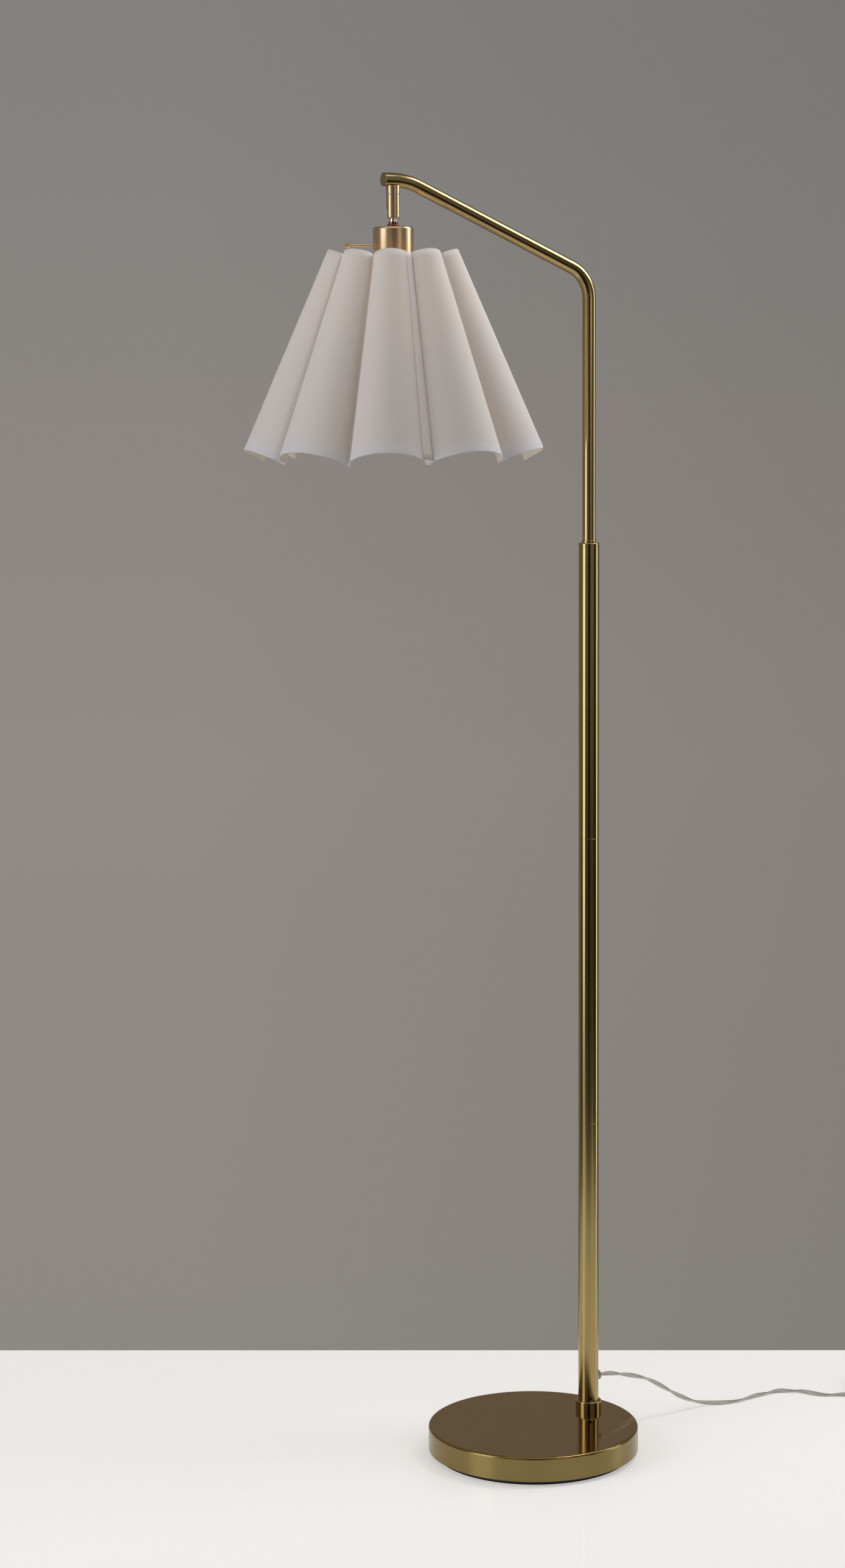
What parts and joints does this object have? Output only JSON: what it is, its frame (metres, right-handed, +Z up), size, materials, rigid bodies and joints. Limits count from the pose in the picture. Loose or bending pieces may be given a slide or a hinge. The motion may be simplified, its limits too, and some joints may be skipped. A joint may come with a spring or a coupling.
{
  "type": "floor lamp",
  "caption": "Bridge floor lamp with a round base, a tube pole, a bent swinging arm and a scalloped fabric shade on a ball swivel.",
  "frame": {"origin": "on the pole's axis at floor level", "axes": "+Z up, -X from the pole along the arm to the shade, +Y completes a right-handed set; the lead leaves the pole along +X"},
  "size_m": [0.9151, 0.3512, 1.5296],
  "materials": {
    "antique_brass": "satin lacquered, fine brushing along the tubes",
    "base_brass": "brushed round the side, glossy lacquer on top",
    "bright_metal": "polished",
    "copper_brass": "polished, reddish",
    "zinc_steel": "zinc plated",
    "iron": "rough casting",
    "black_metal": "black",
    "black_rubber": "matt",
    "white_metal": "white enamel",
    "white_plastic": "moulded",
    "black_plastic": "moulded",
    "shade_cloth": "fine crepe cloth on a stiff lining",
    "clear_lead": "clear flexible sleeve over two stranded conductors",
    "frosted_glass": "frosted",
    "thin_aluminium": "rolled"
  },
  "bodies": {
    "base": {"base_shell": "base_brass", "base_weight": "iron", "base_underplate": "black_metal", "foot_pad": "black_rubber", "base_stem": "zinc_steel", "base_washer": "zinc_steel", "base_nut": "zinc_steel", "foot_collar": "antique_brass", "foot_insert": "zinc_steel", "grub_screw": "black_metal", "pole_lower": "antique_brass", "pole_middle": "antique_brass", "pole_upper": "antique_brass", "lower_coupler": "zinc_steel", "upper_coupler": "zinc_steel", "reducer_cap": "antique_brass", "cord_grommet": "clear_lead", "cord_run": "clear_lead", "cord_coil": "clear_lead", "cord_tie": "black_plastic", "plug_body": "clear_lead", "plug_blades": "zinc_steel", "pole_lead": "clear_lead"},
    "arm": {"swing_collar": "antique_brass", "arm_tube": "antique_brass", "arm_end_cap": "antique_brass", "swivel_collar": "antique_brass", "swivel_nipple": "zinc_steel", "saddle_nut": "zinc_steel", "arm_lead": "clear_lead"},
    "swivel": {"swivel_housing": "antique_brass", "ball_seat": "white_plastic"},
    "head": {"ball_stud": "bright_metal", "stud_ring": "copper_brass", "socket_cup": "antique_brass", "cup_screw": "antique_brass", "stud_nut": "zinc_steel", "socket_bridge": "zinc_steel", "bridge_screws": "zinc_steel", "socket_body": "black_plastic", "screw_shell": "bright_metal", "centre_contact": "bright_metal", "shade_nut_upper": "black_plastic", "shade_nut_lower": "black_plastic", "shade_fitter": "white_metal", "shade_top_ring": "white_metal", "shade_bottom_ring": "white_metal", "shade": "shade_cloth", "seam_strip": "shade_cloth", "bulb_globe": "frosted_glass", "bulb_cap": "thin_aluminium", "bulb_tip": "black_plastic", "head_lead": "clear_lead"},
    "switch": {"switch_stem": "antique_brass", "switch_knob": "antique_brass"}
  },
  "joints": [
    {"name": "arm_swing", "type": "hinge", "parent": "base", "child": "arm", "pos_m": [0, 0, 1.1], "axis": [0, 0, 1], "range_deg": [-90, 90]},
    {"name": "head_turn", "type": "hinge", "parent": "arm", "child": "swivel", "pos_m": [-0.2584, 0, 1.5], "axis": [0, 0, 1], "range_deg": [-75, 130]},
    {"name": "head_tilt", "type": "hinge", "parent": "swivel", "child": "head", "pos_m": [-0.2584, 0, 1.4838], "axis": [0.4617, 0.887, 0], "range_deg": [-8, 90]},
    {"name": "switch_turn", "type": "hinge", "parent": "head", "child": "switch", "pos_m": [-0.2584, 0, 1.448], "axis": [-0.887, 0.4617, 0], "continuous": true}
  ]
}
